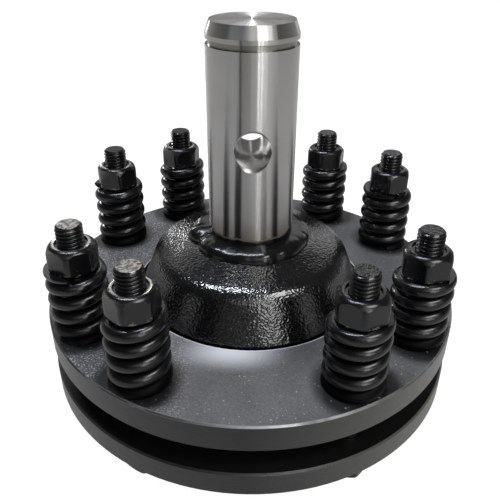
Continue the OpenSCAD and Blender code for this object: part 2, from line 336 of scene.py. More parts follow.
drilled = add(tree, MATH, {0: from_hole, 1: HOLE_REACH}, operation="LESS_THAN")
inside = add(tree, MATH, {0: across, 1: SHAFT_R - 0.08 * MM}, operation="LESS_THAN")
drilled = add(tree, MATH, {0: drilled, 1: inside}, operation="MULTIPLY")
gloss = add(tree, MIX, {0: drilled, 2: gloss.outputs[0], 3: 0.45})
around = add(tree, "ShaderNodeTangent", direction_type="RADIAL", axis="Z")
dent = add(tree, "ShaderNodeBump", {"Height": rings, "Strength": 0.12, "Distance": 0.01 * MM})
feed(tree, shader, {"Base Color": tone.outputs[2], "Roughness": gloss, "Metallic": bare, "Tangent": around,
                    "Anisotropic": 1.0, "Anisotropic Rotation": 0.25, "Normal": dent})
dress(turned_steel, "input_shaft")
print("made", turned_steel.name)

# %% [markdown]
# ### Black enamel on plate
# Both plates are sawn or flame-cut plate under one coat of semi-gloss black enamel, which levels out to a
# faint orange peel. Overspray and dust lie on the upper face as a cloudy, matt grey film with a few bright
# specks. Towards the left the film is thinner, so the face is darker there, and pale grains lie on it. A
# pale patch in front of the bell is a painted highlight, and around the springs the film is left out, so
# that the dark there is painted shade. Handling rubs the coat through along the upper edge, a thin pale
# line runs along the hole's lip, and the rims are painted paler towards the sides, a painted sheen.
# Folding the eight springs onto one by their symmetry, with absolute values and the larger and smaller
# coordinate, gives the distance to the nearest.

# %% Plate enamel
PLATE_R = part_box("pressure_plate")[1].x
PLATE_TOP_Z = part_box("pressure_plate")[1].z
HOLE_LIP_R = 49.5 * MM
# The middle and size of the painted highlight in front of the bell
HIGHLIGHT_MIDDLE = (-6 * MM, -50 * MM, 0)
HIGHLIGHT_HALF_WIDTH, HIGHLIGHT_HALF_DEPTH = 24 * MM, 13 * MM
FOLDED_SPRING = (67 * MM, 38.7 * MM, 0)
SHADE_R, OPEN_R = 13 * MM, 18.5 * MM
PEEL, GRIT, GRAIN, SPECK, PATCH = 3.0 * MM, 0.8 * MM, 0.7 * MM, 1.0 * MM, 24 * MM

plate_enamel, tree, shader, place = new_material("black enamel on flat plate")
axes = add(tree, SPLIT, {0: place})
flat = add(tree, VECTOR, {0: place, 1: (1, 1, 0)}, operation="MULTIPLY")
reach = add(tree, VECTOR, {0: flat}, operation="LENGTH").outputs["Value"]
peel = add(tree, NOISE, {"Vector": place, "Scale": 1 / PEEL, "Detail": 3.0})
grit = add(tree, NOISE, {"Vector": place, "Scale": 1 / GRIT, "Detail": 2.0})
patches = add(tree, NOISE, {"Vector": place, "Scale": 1 / PATCH, "Detail": 3.0})
tone = add(tree, MIX, {0: patches, 6: linear("#0D0D0E"), 7: linear("#161617")}, data_type="RGBA")
on_top = add(tree, RANGE, {"Value": axes.outputs["Z"], "From Min": PLATE_TOP_Z - 0.3 * MM,
                           "From Max": PLATE_TOP_Z - 0.1 * MM})

# %% Plate enamel: the grey film, its grains and specks
# Towards the far left the film is thinner, so the face is darker, and pale grains lie there
THIN_START_X, THIN_FULL_X = -38 * MM, -58 * MM
GRAINS_START_X, GRAINS_FULL_X = -16 * MM, -34 * MM
folded = add(tree, SPLIT, {0: add(tree, VECTOR, {0: flat}, operation="ABSOLUTE")})
longer = add(tree, MATH, {0: folded.outputs[0], 1: folded.outputs[1]}, operation="MAXIMUM")
shorter = add(tree, MATH, {0: folded.outputs[0], 1: folded.outputs[1]}, operation="MINIMUM")
folded = add(tree, POINT, {0: longer, 1: shorter})
to_spring = add(tree, VECTOR, {0: folded, 1: FOLDED_SPRING}, operation="DISTANCE").outputs["Value"]
# Near each spring the film is left out, and the dark left there is a painted shade
outside_spring_shade = add(tree, RANGE, {"Value": to_spring, "From Min": SHADE_R, "From Max": OPEN_R},
                interpolation_type="SMOOTHSTEP")
left_share = add(tree, RANGE, {"Value": axes.outputs["X"], "From Min": THIN_START_X,
                               "From Max": THIN_FULL_X, "To Min": 1.0, "To Max": 0.74})
clouds = add(tree, RANGE, {"Value": patches, "From Min": 0.35, "From Max": 0.65,
                           "To Min": 0.80, "To Max": 1.10})
film = add(tree, RANGE, {"Value": grit, "From Min": 0.3, "From Max": 0.7, "To Min": 0.5, "To Max": 0.8})
for share in (outside_spring_shade, on_top, left_share, clouds):
    film = add(tree, MATH, {0: film, 1: share}, operation="MULTIPLY")
tone = add(tree, MIX, {0: film, 6: tone.outputs[2], 7: linear("#6E6E6F")}, data_type="RGBA")
left_grains = add(tree, RANGE, {"Value": axes.outputs["X"], "From Min": GRAINS_START_X, "From Max": GRAINS_FULL_X})
for share in (outside_spring_shade, on_top):
    left_grains = add(tree, MATH, {0: left_grains, 1: share}, operation="MULTIPLY")
grains = add(tree, NOISE, {"Vector": place, "Scale": 1 / GRAIN, "Detail": 1.0})
grains = add(tree, RANGE, {"Value": grains, "From Min": 0.54, "From Max": 0.68, "To Max": 0.7})
grains = add(tree, MATH, {0: grains, 1: left_grains}, operation="MULTIPLY")
specks = add(tree, NOISE, {"Vector": place, "Scale": 1 / SPECK, "Detail": 0.0})
specks = add(tree, RANGE, {"Value": specks, "From Min": 0.76, "From Max": 0.82, "To Max": 0.38})
specks = add(tree, MATH, {0: specks, 1: on_top}, operation="MULTIPLY")
grains = add(tree, MATH, {0: grains, 1: specks}, operation="MAXIMUM")
tone = add(tree, MIX, {0: grains, 6: tone.outputs[2], 7: linear("#C4C5C8")}, data_type="RGBA")

# %% Plate enamel: the painted highlight, the edges and the rims' painted sheen
HANDLED_FULL_Y, HANDLED_END_Y = -76 * MM, -62 * MM
# A pale patch in front of the bell is a painted highlight
bell_front_highlight = add(tree, VECTOR, {0: flat, 1: HIGHLIGHT_MIDDLE}, operation="SUBTRACT")
bell_front_highlight = add(tree, VECTOR, {0: bell_front_highlight, 1: (1 / HIGHLIGHT_HALF_WIDTH, 1 / HIGHLIGHT_HALF_DEPTH, 0)}, operation="MULTIPLY")
bell_front_highlight = add(tree, VECTOR, {0: bell_front_highlight}, operation="LENGTH").outputs["Value"]
bell_front_highlight = add(tree, RANGE, {"Value": bell_front_highlight, "From Min": 0.0, "From Max": 1.0, "To Min": 0.9, "To Max": 0.0},
          interpolation_type="SMOOTHSTEP")
bell_front_highlight = add(tree, MATH, {0: bell_front_highlight, 1: on_top}, operation="MULTIPLY")
tone = add(tree, MIX, {0: bell_front_highlight, 6: tone.outputs[2], 7: linear("#D4D6DB")}, data_type="RGBA")
# A thin pale line along the hole's lip
lip = add(tree, RANGE, {"Value": reach, "From Min": HOLE_LIP_R + 0.3 * MM,
                        "From Max": HOLE_LIP_R + 0.6 * MM, "To Min": 0.55, "To Max": 0.0})
lip = add(tree, MATH, {0: lip, 1: on_top}, operation="MULTIPLY")
tone = add(tree, MIX, {0: lip, 6: tone.outputs[2], 7: linear("#D8D8DA")}, data_type="RGBA")
edge = add(tree, RANGE, {"Value": reach, "From Min": PLATE_R - 0.8 * MM, "From Max": PLATE_R - 0.5 * MM})
upper = add(tree, RANGE, {"Value": axes.outputs["Z"], "From Min": PLATE_TOP_Z - 0.9 * MM,
                          "From Max": PLATE_TOP_Z - 0.6 * MM})
front = add(tree, RANGE, {"Value": axes.outputs["Y"], "From Min": HANDLED_FULL_Y,
                          "From Max": HANDLED_END_Y, "To Min": 0.22, "To Max": 0.0})
rubbed = add(tree, MATH, {0: patches, 1: front}, operation="ADD")
rubbed = add(tree, RANGE, {"Value": rubbed, "From Min": 0.54, "From Max": 0.64})
for share in (edge, upper):
    rubbed = add(tree, MATH, {0: rubbed, 1: share}, operation="MULTIPLY")
tone = add(tree, MIX, {0: rubbed, 6: tone.outputs[2], 7: linear("#9A9A9C")}, data_type="RGBA")
# The rims are painted paler towards the sides, a painted sheen
right_rim_sheen = add(tree, RANGE, {"Value": axes.outputs["X"], "From Min": 0.0, "From Max": PLATE_R,
                              "To Max": 0.45})
left_rim_sheen = add(tree, RANGE, {"Value": axes.outputs["X"], "From Min": 0.0, "From Max": -PLATE_R,
                             "To Max": 0.14})
rim_sheen = add(tree, MATH, {0: right_rim_sheen, 1: left_rim_sheen}, operation="MAXIMUM")
rim_sheen = add(tree, MATH, {0: rim_sheen, 1: edge}, operation="MULTIPLY")
tone = add(tree, MIX, {0: rim_sheen, 6: tone.outputs[2], 7: linear("#8A8982")}, data_type="RGBA")
gloss = add(tree, RANGE, {"Value": on_top, "To Min": 0.32, "To Max": 0.50})
coarse = add(tree, RANGE, {"Value": patches, "From Min": 0.45, "From Max": 0.65,
                           "To Min": 0.15, "To Max": 0.6})
relief = add(tree, MIX, {0: coarse, 2: peel.outputs[0], 3: grit.outputs[0]})
dent = add(tree, "ShaderNodeBump", {"Height": relief, "Strength": 0.5, "Distance": 0.25 * MM})
feed(tree, shader, {"Base Color": tone.outputs[2], "Roughness": gloss, "Metallic": rubbed, "Normal": dent})
dress(plate_enamel, "pressure_plate", "hub_plate", "output_hub")
print("made", plate_enamel.name)

# %% [markdown]
# ### Black enamel on a forging
# The bell was forged and shot-blasted before painting, so its skin is lumpy and pitted, and the glossy
# enamel glitters where a pit faces a lamp. The skin is coarser on the left and a little calmer on the
# front of the top.

# %% Forging enamel
LUMP, PIT = 2.6 * MM, 0.85 * MM
PIT_SHARE = 0.72
COARSE_START_X, COARSE_FULL_X = -22 * MM, -34 * MM
TOP_START_Z, TOP_FULL_Z = 55 * MM, 58 * MM
FRONT_START_Y, FRONT_FULL_Y = -12 * MM, -24 * MM

forged_enamel, tree, shader, place = new_material("black enamel on blasted forging")
axes = add(tree, SPLIT, {0: place})
lumps = add(tree, NOISE, {"Vector": place, "Scale": 1 / LUMP, "Detail": 1.0})
pits = add(tree, NOISE, {"Vector": place, "Scale": 1 / PIT, "Detail": 0.0})
tone = add(tree, MIX, {0: lumps, 6: linear("#060607"), 7: linear("#0D0D0E")}, data_type="RGBA")
gloss = add(tree, RANGE, {"Value": lumps, "To Min": 0.13, "To Max": 0.23})
coarser = add(tree, RANGE, {"Value": axes.outputs["X"], "From Min": COARSE_START_X,
                            "From Max": COARSE_FULL_X, "To Min": 1.0, "To Max": 1.5})
high = add(tree, RANGE, {"Value": axes.outputs["Z"], "From Min": TOP_START_Z, "From Max": TOP_FULL_Z})
front = add(tree, RANGE, {"Value": axes.outputs["Y"], "From Min": FRONT_START_Y, "From Max": FRONT_FULL_Y})
calm = add(tree, MATH, {0: high, 1: front}, operation="MULTIPLY")
calm = add(tree, RANGE, {"Value": calm, "To Min": 1.0, "To Max": 0.85})
relief = add(tree, MIX, {0: PIT_SHARE, 2: lumps.outputs[0], 3: pits.outputs[0]})
for share in (coarser, calm):
    relief = add(tree, MATH, {0: relief, 1: share}, operation="MULTIPLY")
dent = add(tree, "ShaderNodeBump", {"Height": relief, "Strength": 0.8, "Distance": 0.30 * MM})
feed(tree, shader, {"Base Color": tone.outputs[2], "Roughness": gloss, "Specular IOR Level": 1.0,
                    "Normal": dent})
dress(forged_enamel, "drive_bell", "shaft_weld", "hub_weld")
print("made", forged_enamel.name)

# %% [markdown]
# ### Black enamel on springs and fasteners
# Springs, bolts and nuts were painted in place with the same enamel, thick enough to round their edges.
# An attribute stored on the meshes says what happened to the enamel since, and where light is painted.
# Above 0 a spanner has rubbed it down to the steel, which is mottled on the bolts' tips. Below 0 a face
# is painted grey and dull, a painted light on the face of the left nuts that looks left. The springs'
# feet are painted near black, a painted shade, and on the right tips the enamel set in blobs.

# %% Hardware enamel
BOLT_END_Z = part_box("bolt_1")[1].z
TIP_START_Z = BOLT_END_Z - 0.05 * MM
FOOT_LOW_Z, FOOT_HIGH_Z = PLATE_TOP_Z + 4 * MM, PLATE_TOP_Z + 7 * MM
HARDWARE_PEEL, HARDWARE_PATCH, BLOB = 1.6 * MM, 5 * MM, 1.3 * MM
BLOB_RISE = 45.0

hardware_enamel, tree, shader, place = new_material("black enamel on springs and fasteners")
axes = add(tree, SPLIT, {0: place})
peel = add(tree, NOISE, {"Vector": place, "Scale": 1 / HARDWARE_PEEL, "Detail": 3.0})
patches = add(tree, NOISE, {"Vector": place, "Scale": 1 / HARDWARE_PATCH, "Detail": 3.0})
wear_and_light = add(tree, "ShaderNodeAttribute", attribute_name="wear_and_light").outputs["Fac"]
tip = add(tree, MATH, {0: axes.outputs["Z"], 1: TIP_START_Z}, operation="GREATER_THAN")
rub = add(tree, MATH, {0: wear_and_light, 1: peel}, operation="MULTIPLY")
rub = add(tree, RANGE, {"Value": rub, "From Min": 0.22, "From Max": 0.34})
# Below 0 the face that looks left is painted lighter, grey and dull: a painted light
lit_left = add(tree, RANGE, {"Value": wear_and_light, "From Min": 0.0, "From Max": -1.0})
tone = add(tree, MIX, {0: patches, 6: linear("#08080A"), 7: linear("#101011")}, data_type="RGBA")
tone = add(tree, MIX, {0: lit_left, 6: tone.outputs[2], 7: linear("#6C6A64")}, data_type="RGBA")
mottle = add(tree, RANGE, {"Value": peel, "From Min": 0.42, "From Max": 0.60})
plain = add(tree, MATH, {0: 1.0, 1: tip}, operation="SUBTRACT")
mottle = add(tree, MATH, {0: mottle, 1: plain}, operation="MAXIMUM")
metal = add(tree, MIX, {0: mottle, 6: linear("#5E5C5A"), 7: linear("#B0AEA9")}, data_type="RGBA")
tone = add(tree, MIX, {0: rub, 6: tone.outputs[2], 7: metal.outputs[2]}, data_type="RGBA")
# The springs' feet are painted near black, a painted shade
foot_shade = add(tree, RANGE, {"Value": axes.outputs["Z"], "From Min": FOOT_HIGH_Z, "From Max": FOOT_LOW_Z,
                         "To Max": 0.85})
above = add(tree, MATH, {0: axes.outputs["Z"], 1: PLATE_TOP_Z - 1 * MM}, operation="GREATER_THAN")
foot_shade = add(tree, MATH, {0: foot_shade, 1: above}, operation="MULTIPLY")
tone = add(tree, MIX, {0: foot_shade, 6: tone.outputs[2], 7: linear("#020202")}, data_type="RGBA")
# Rubbed steel is a metal, and a near-black metal gives the painted shade at the springs' feet its lack of
# sheen
metallic = add(tree, MATH, {0: rub, 1: foot_shade}, operation="MAXIMUM")
gloss = add(tree, RANGE, {"Value": patches, "To Min": 0.17, "To Max": 0.29})
gloss = add(tree, MIX, {0: foot_shade, 2: gloss.outputs[0], 3: 0.6})
gloss = add(tree, MIX, {0: lit_left, 2: gloss.outputs[0], 3: 0.5})
blobs = add(tree, NOISE, {"Vector": place, "Scale": 1 / BLOB, "Detail": 1.0})
right = add(tree, MATH, {0: axes.outputs["X"], 1: 0.0}, operation="GREATER_THAN")
for share in (tip, right):
    blobs = add(tree, MATH, {0: share, 1: blobs}, operation="MULTIPLY")
relief = add(tree, MATH, {0: blobs, 1: BLOB_RISE, 2: peel}, operation="MULTIPLY_ADD")
dent = add(tree, "ShaderNodeBump", {"Height": relief, "Strength": 0.2, "Distance": 0.12 * MM})
feed(tree, shader, {"Base Color": tone.outputs[2], "Roughness": gloss, "Metallic": metallic,
                    "Normal": dent})
for family in ("bolt", "spring", "nut", "nut_insert"):
    dress(hardware_enamel, *[f"{family}_{i}" for i in range(1, 9)])
print("made", hardware_enamel.name)

# %% [markdown]
# ### Lining and bronze
# The friction discs are moulded from fibre and resin, matt and flecked. The bush is turned bronze, a warm
# metal with soft smears.

# %% Friction lining and bronze
FLECK, BRONZE_SMEAR = 0.8 * MM, 4 * MM

lining, tree, shader, place = new_material("moulded friction lining")
flecks = add(tree, "ShaderNodeTexVoronoi", {"Vector": place, "Scale": 1 / FLECK}).outputs["Color"]
tone = add(tree, MIX, {0: flecks, 6: linear("#4A4036"), 7: linear("#6A5C4A")}, data_type="RGBA")
feed(tree, shader, {"Base Color": tone.outputs[2], "Roughness": 0.85})
dress(lining, "upper_friction_disc", "lower_friction_disc")

bronze, tree, shader, place = new_material("turned bronze")
smears = add(tree, NOISE, {"Vector": place, "Scale": 1 / BRONZE_SMEAR, "Detail": 3.0})
tone = add(tree, MIX, {0: smears, 6: linear("#8A6A3C"), 7: linear("#A98652")}, data_type="RGBA")
feed(tree, shader, {"Base Color": tone.outputs[2], "Metallic": 1.0, "Roughness": 0.35})
dress(bronze, "pilot_bush")
print("made", lining.name, "and", bronze.name)

# %% [markdown]
# ## Pieces that repeat
# Springs, threads and nuts come eight times, so Geometry Nodes make them. A tree is a recipe with named
# inputs. It is run once for each piece, and its result is kept as a plain mesh, because the pieces ride on
# different bodies and an export keeps no instances. The bolts share one body, so one run makes all eight.

# %% Run a node tree


def new_tree(name, inputs):
    """A Geometry Nodes tree with named inputs. Returns the tree and the sockets of its inputs."""
    tree = bpy.data.node_groups.new(name, "GeometryNodeTree")
    tree.interface.new_socket("Geometry", in_out="INPUT", socket_type="NodeSocketGeometry")
    tree.interface.new_socket("Geometry", in_out="OUTPUT", socket_type="NodeSocketGeometry")
    for label, kind in inputs.items():
        tree.interface.new_socket(label, in_out="INPUT", socket_type="NodeSocket" + kind)
    return tree, add(tree, "NodeGroupInput").outputs


def close_tree(tree, geometry, material):
    """Ends a tree with real geometry in place of instances, and its material."""
    real = add(tree, "GeometryNodeRealizeInstances", {"Geometry": geometry})
    dressed = add(tree, "GeometryNodeSetMaterial", {"Geometry": real, "Material": material})
    add(tree, "NodeGroupOutput", {"Geometry": dressed})


def grow(tree, name, sizes, start=None):
    """Runs a tree with these inputs and keeps its result as a plain mesh object."""
    piece = bpy.data.objects.new(name, start or bpy.data.meshes.new(name))
    bpy.context.scene.collection.objects.link(piece)
    recipe = piece.modifiers.new(name, "NODES")
    recipe.node_group = tree
    for item in tree.interface.items_tree:
        if item.in_out == "INPUT" and item.name in sizes:
            recipe[item.identifier] = sizes[item.name]
    result = piece.evaluated_get(bpy.context.evaluated_depsgraph_get())
    mesh = bpy.data.meshes.new_from_object(result)
    piece.modifiers.remove(recipe)
    piece.data = mesh
    mesh.name = name
    return piece


# %% [markdown]
# ### Wound springs
# Each spring is right-hand, cold wound from 5.2 mm wire, with five turns. Its end turns are closed and
# ground flat so that it stands square. A tube along a helix gives the wire; pushing every point that
# passes the end planes back onto them does what the grinding wheel does.

# %% Wound springs: sizes
STATIONS = [(sum(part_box(f"bolt_{i}"), Vector()) / 2).xy for i in range(1, 9)]
SPRING_FOOT_Z = PLATE_TOP_Z
SPRING_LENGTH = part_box("nut_1")[0].z - SPRING_FOOT_Z
SPRING_TURNS = 5
STEPS_PER_TURN = 56
WIRE_SIDES = 20
WIRE_R = 2.6 * MM
COIL_R = 11.5 * MM - WIRE_R
CLOSED_RISE = 2 * WIRE_R + 0.1 * MM
WIRE_TIP_Z = 2.2 * MM - WIRE_R
WORKING_RISE = (SPRING_LENGTH - 2 * WIRE_TIP_Z - 2 * CLOSED_RISE) / (SPRING_TURNS - 2)
# The direction in which each wire ends, in degrees from the front towards +X
WIRE_ENDS = (222, 200, 5, 184, 206, 274, 2, 263)
print("springs", round(SPRING_LENGTH / MM, 2), "mm long, working pitch", round(WORKING_RISE / MM, 2), "mm")

# %% Wound springs: the recipe
tree, size = new_tree("wound spring", {
    "Coil radius": "Float", "Wire radius": "Float", "Length": "Float", "Turns": "Float",
    "Closed rise": "Float", "Working rise": "Float", "Tip height": "Float", "First angle": "Float",
    "Steps": "Int", "Place": "Vector", "Material": "Material"})
line = add(tree, "GeometryNodeCurvePrimitiveLine")
rod = add(tree, "GeometryNodeResampleCurve", {"Curve": line, "Count": size["Steps"]})
along = add(tree, "GeometryNodeSplineParameter").outputs["Factor"]
turns = add(tree, MATH, {0: along, 1: size["Turns"]}, operation="MULTIPLY")
# The first and the last turn rise by little more than the wire, those between by the working pitch
first = add(tree, MATH, {0: turns, 1: 1.0}, operation="MINIMUM")
last_start = add(tree, MATH, {0: size["Turns"], 1: 1.0}, operation="SUBTRACT")
last = add(tree, MATH, {0: turns, 1: last_start}, operation="SUBTRACT")
last = add(tree, MATH, {0: last, 1: 0.0}, operation="MAXIMUM")
closed = add(tree, MATH, {0: first, 1: last}, operation="ADD")
working = add(tree, MATH, {0: turns, 1: closed}, operation="SUBTRACT")
height = add(tree, MATH, {0: closed, 1: size["Closed rise"], 2: size["Tip height"]},
             operation="MULTIPLY_ADD")
height = add(tree, MATH, {0: working, 1: size["Working rise"], 2: height}, operation="MULTIPLY_ADD")
angle = add(tree, MATH, {0: turns, 1: math.tau, 2: size["First angle"]}, operation="MULTIPLY_ADD")
cosine = add(tree, MATH, {0: angle}, operation="COSINE")
sine = add(tree, MATH, {0: angle}, operation="SINE")
across = add(tree, MATH, {0: cosine, 1: size["Coil radius"]}, operation="MULTIPLY")
deep = add(tree, MATH, {0: sine, 1: size["Coil radius"]}, operation="MULTIPLY")
point = add(tree, POINT, {0: across, 1: deep, 2: height})
helix = add(tree, "GeometryNodeSetPosition", {"Geometry": rod, "Position": point})
section = add(tree, "GeometryNodeCurvePrimitiveCircle", {"Resolution": WIRE_SIDES,
                                                         "Radius": size["Wire radius"]})
wire = add(tree, "GeometryNodeCurveToMesh", {"Curve": helix, "Profile Curve": section, "Fill Caps": True})
axes = add(tree, SPLIT, {0: add(tree, "GeometryNodeInputPosition")})
low = add(tree, MATH, {0: axes.outputs[2], 1: 0.0}, operation="MAXIMUM")
ground_z = add(tree, MATH, {0: low, 1: size["Length"]}, operation="MINIMUM")
ground_point = add(tree, POINT, {0: axes.outputs[0], 1: axes.outputs[1], 2: ground_z})
ground = add(tree, "GeometryNodeSetPosition", {"Geometry": wire, "Position": ground_point})
facing = add(tree, SPLIT, {0: add(tree, "GeometryNodeInputNormal")})
steep = add(tree, MATH, {0: facing.outputs[2]}, operation="ABSOLUTE")
rounded = add(tree, MATH, {0: steep, 1: 0.999}, operation="LESS_THAN")
smooth = add(tree, "GeometryNodeSetShadeSmooth", {0: ground, "Shade Smooth": rounded})
stood = add(tree, "GeometryNodeTransform", {"Geometry": smooth, "Translation": size["Place"]})
close_tree(tree, stood, size["Material"])
print("recipe of", len(tree.nodes), "nodes")

# %% Wound springs: eight of them
for i, (station, wire_end) in enumerate(zip(STATIONS, WIRE_ENDS), 1):
    spring = grow(tree, f"wound_spring_{i}", {
        "Coil radius": COIL_R, "Wire radius": WIRE_R, "Length": SPRING_LENGTH, "Turns": float(SPRING_TURNS),
        "Closed rise": CLOSED_RISE, "Working rise": WORKING_RISE, "Tip height": WIRE_TIP_Z,
        "First angle": math.radians(wire_end - 90), "Steps": SPRING_TURNS * STEPS_PER_TURN + 1,
        "Place": (*station, SPRING_FOOT_Z), "Material": hardware_enamel})
    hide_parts(f"spring_{i}")
    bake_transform(spring)
print("springs of", len(spring.data.polygons), "faces")

# %% [markdown]
# ### Outlines turned about an axis
# Nuts, bolt blanks, the bell and the weld are all an outline carried around an axis. On a lathe the outline
# stays the same; on a hexagon, a forging or a weld it changes with the angle. One function takes an outline
# for every angle and joins them into a closed mesh.

# %% Turned meshes
SHARP = math.radians(32)
SAME_POINT = 0.002 * MM


def turned_mesh(name, outline_at, angles, ring):
    """A mesh through outlines (radius, height) at angles in degrees; a ring's outline is closed."""
    rows = [outline_at(a) for a in angles]
    count = len(rows[0])
    points = []
    for a, row in zip(angles, rows):
        c, s = math.cos(math.radians(a)), math.sin(math.radians(a))
        points += [(r * c, r * s, z) for r, z in row]
    faces = []
    for k in range(len(angles)):
        n = (k + 1) % len(angles)
        for j in range(count if ring else count - 1):
            m = (j + 1) % count
            faces.append((k * count + j, n * count + j, n * count + m, k * count + m))
    mesh = bpy.data.meshes.new(name)
    mesh.from_pydata(points, [], faces)
    shape = bmesh.new()
    shape.from_mesh(mesh)
    bmesh.ops.remove_doubles(shape, verts=shape.verts, dist=SAME_POINT)
    bmesh.ops.recalc_face_normals(shape, faces=shape.faces)
    shape.to_mesh(mesh)
    shape.free()
    mesh.shade_smooth()
    mesh.set_sharp_from_angle(angle=SHARP)
    return mesh


def new_piece(name, mesh, material, body, slot, *replaced):
    """An object for a finished mesh, riding on a body in place of CAD nodes."""
    piece = bpy.data.objects.new(name, mesh)
    bpy.context.scene.collection.objects.link(piece)
    mesh.materials.append(material)
    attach(piece, body)
    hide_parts(*replaced)
    return piece


# %% [markdown]
# ### Lock nuts
# A hexagon rounds in to a thin collar that holds a plastic ring. The bevels that a lathe cuts on a hexagon
# dip at its corners, and they come by themselves when each outline meets the flat where it lies.

# %% Lock nuts: the outline
SPANNER = 17 * MM
HEX_R = SPANNER / 2 / math.cos(math.radians(30))
HEX_BEVEL_R = SPANNER / 2 * 0.96
EASED_HEX_R = HEX_R * 0.975
EASING = 60
NUT_FOOT_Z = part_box("nut_1")[0].z
NUT_HEIGHT = 10 * MM
NUT_DOME_Z = 5.0 * MM
DOME_STEPS = 8
NUT_BORE_R = 5.05 * MM
SEAT_R = 6.1 * MM
SEAT_EDGE = 0.05 * MM
RIM_R = SEAT_R + 0.35 * MM
SEAT_Z = NUT_HEIGHT - 3.0 * MM
# Degrees along one side of the hexagon, closer together near its corners
SIDE_STEPS = (0, 1, 2.5, 5, 7.5, 10, 15, 20, 25, 30, 35, 40, 45, 50, 52.5, 55, 57.5, 59)
HEX_ANGLES = [60 * side + step for side in range(6) for step in SIDE_STEPS]


def hex_reach(angle):
    """From the axis to the side of the hexagon, at an angle from a corner; the corners are eased."""
    flat = SPANNER / 2 / math.cos(math.radians(30 - angle % 60))
    return (flat**-EASING + EASED_HEX_R**-EASING) ** (-1 / EASING)


def bevel_rise(radius):
    """Height of the 30 degree bevel under a hexagon at a radius."""
    return (radius - HEX_BEVEL_R) * math.tan(math.radians(30))


def nut_outline(angle):
    """The foot, bevel, side and dome of a nut, then the seat of its plastic ring."""
    side = hex_reach(angle)
    wide, high = HEX_R - RIM_R, NUT_HEIGHT - NUT_DOME_Z
    start = math.acos((side - RIM_R) / wide)
    dome = [start + (math.pi / 2 - start) * k / DOME_STEPS for k in range(DOME_STEPS + 1)]
    return (
        [(NUT_BORE_R, 0), (HEX_BEVEL_R, 0), (side, bevel_rise(side))]
        + [(RIM_R + wide * math.cos(t), NUT_DOME_Z + high * math.sin(t)) for t in dome]
        + [(SEAT_R + SEAT_EDGE, NUT_HEIGHT), (SEAT_R, NUT_HEIGHT - SEAT_EDGE)]
        + [(SEAT_R, SEAT_Z), (NUT_BORE_R, SEAT_Z)]
    )


nut_mesh = turned_mesh("lock nut", nut_outline, HEX_ANGLES, ring=True)
print("nut pattern of", len(nut_mesh.polygons), "faces")

# %% [markdown]
# ### Wear and painted light on the nuts
# A spanner leaves flecks of bare steel at the foot of every nut. The nuts on the left have a bare rim on
# the collar, and their face that looks left is painted grey, a painted light. Each point of a mesh stores
# its own wear and painted light.

# %% Lock nuts: wear and painted light
LEFT_FACE, LEFT_FACE_WIDTH = -52, 28
FLECKED_Z = 0.8 * MM
RUBBED_Z, BARE_RIM_Z = NUT_HEIGHT - 0.15 * MM, NUT_HEIGHT - 0.04 * MM
LIT_LEFT_TOP_Z = NUT_DOME_Z + 4.2 * MM
# A negative value paints the face that looks left lighter, a painted light
FLECKED, RUBBED, BARE, LIT_LEFT = 0.43, 0.5, 1.0, -0.9


def hump(angle, middle, width):
    """A bump of height 1 around an angle, in degrees."""
    off = (angle - middle + 180) % 360 - 180
    return math.exp(-((off / width) ** 2))


def store_wear_and_light(mesh, wear_at):
    """Stores the paint's wear on every point: 0 is sound, 1 is rubbed off, below 0 is a painted light."""
    wear = mesh.attributes.new("wear_and_light", "FLOAT", "POINT")
    wear.data.foreach_set("value", [float(wear_at(v.co)) for v in mesh.vertices])


def nut_wear_and_light(point, station):
    """The wear and painted light at a point of the nut that stands at a station."""
    height = point.z - NUT_FOOT_Z
    if height < FLECKED_Z:
        return FLECKED
    if point.x > 0:
        return 0.0
    if height > RUBBED_Z:
        return BARE if height > BARE_RIM_Z else RUBBED
    outward = math.degrees(math.atan2(point.x - station.x, station.y - point.y))
    return LIT_LEFT * hump(outward, LEFT_FACE, LEFT_FACE_WIDTH) if height < LIT_LEFT_TOP_Z else 0.0


# %% Lock nuts: eight of them
# The angle of one corner of each nut, in degrees from the front towards +X
NUT_TURNS = (57, 48, 52, 41, 51, 22, 2, 49)
nut_pattern = bpy.data.objects.new("lock nut pattern", nut_mesh)
tree, size = new_tree("fitted nut", {"Pattern": "Object", "Place": "Vector", "Turn": "Vector",
                                     "Material": "Material"})
pattern = add(tree, "GeometryNodeObjectInfo", {"Object": size["Pattern"]})
fitted = add(tree, "GeometryNodeTransform", {"Geometry": pattern.outputs["Geometry"],
                                             "Translation": size["Place"], "Rotation": size["Turn"]})
close_tree(tree, fitted, size["Material"])
for i, (station, turn) in enumerate(zip(STATIONS, NUT_TURNS), 1):
    nut = grow(tree, f"lock_nut_{i}", {
        "Pattern": nut_pattern, "Place": (*station, NUT_FOOT_Z), "Turn": (0, 0, math.radians(turn - 90)),
        "Material": hardware_enamel})
    store_wear_and_light(nut.data, lambda p: nut_wear_and_light(p, station))
    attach(nut, f"lock_nut_{i}")
    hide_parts(f"nut_{i}")
bpy.data.objects.remove(nut_pattern)
print("nuts of", len(nut.data.polygons), "faces")

# %% [markdown]
# ### Bolts
# M10 bolts, heads down. The blank, head and shank, is turned as an outline. The thread is a sheet rolled
# around the axis whose rows climb one pitch a turn: the height of a row follows the angle, and its radius
# follows the row, so the crests run along a true helix. Near its ends the radius is held under a cone.

# %% Bolts: the blank
BOLT_R = 5 * MM
BOLT_ROOT_R = 4.1 * MM
PITCH = 1.5 * MM
HEAD_H = 6.4 * MM
THREAD_Z = BOLT_END_Z - 32 * MM
BLANK_END_Z = THREAD_Z + 0.9 * MM


def blank_outline(angle):
    """The head and the plain shank of a bolt, tapered where the thread begins."""
    side = hex_reach(angle)
    return [(0, 0), (HEX_BEVEL_R, 0), (side, bevel_rise(side)), (side, HEAD_H), (BOLT_R, HEAD_H),
            (BOLT_R, THREAD_Z), (BOLT_ROOT_R, BLANK_END_Z), (0, BLANK_END_Z)]


blank = bpy.data.objects.new("bolt blank", turned_mesh("bolt blank", blank_outline, HEX_ANGLES, ring=False))
print("blank of", len(blank.data.polygons), "faces")

